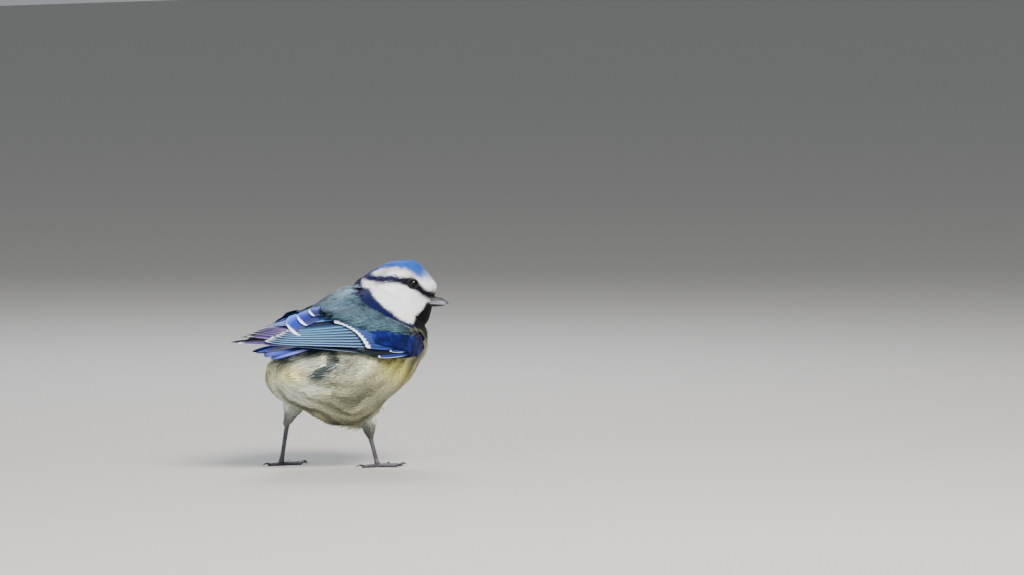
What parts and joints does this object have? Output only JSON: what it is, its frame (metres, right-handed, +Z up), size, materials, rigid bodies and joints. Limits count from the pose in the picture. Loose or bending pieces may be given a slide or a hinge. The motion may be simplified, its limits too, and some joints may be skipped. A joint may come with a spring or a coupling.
{
  "type": "perched blue tit",
  "caption": "Life-size still model of a small songbird standing on both feet, wings folded, head turned to its right",
  "frame": {"origin": "on the floor under the middle of the part's box", "axes": "+X forward along the body, +Y to the bird's left, +Z up; the head looks about 50 degrees to the bird's right"},
  "size_m": [0.0804, 0.0466, 0.0706],
  "materials": {
    "head_feathers": "matte",
    "back_feathers": "matte",
    "belly_feathers": "matte",
    "flight_feathers": "satin",
    "leg_scales": "satin",
    "bill_horn": "satin",
    "eye": "gloss"
  },
  "bodies": {
    "root": {"head": "head_feathers", "neck": "back_feathers", "torso": "belly_feathers", "tail": "flight_feathers", "wing_left": "flight_feathers", "wing_right": "flight_feathers", "shank_left": "belly_feathers", "shank_right": "belly_feathers", "leg_left": "leg_scales", "leg_right": "leg_scales", "bill_upper": "bill_horn", "bill_lower": "bill_horn", "eye_left": "eye", "eye_right": "eye"}
  },
  "joints": []
}
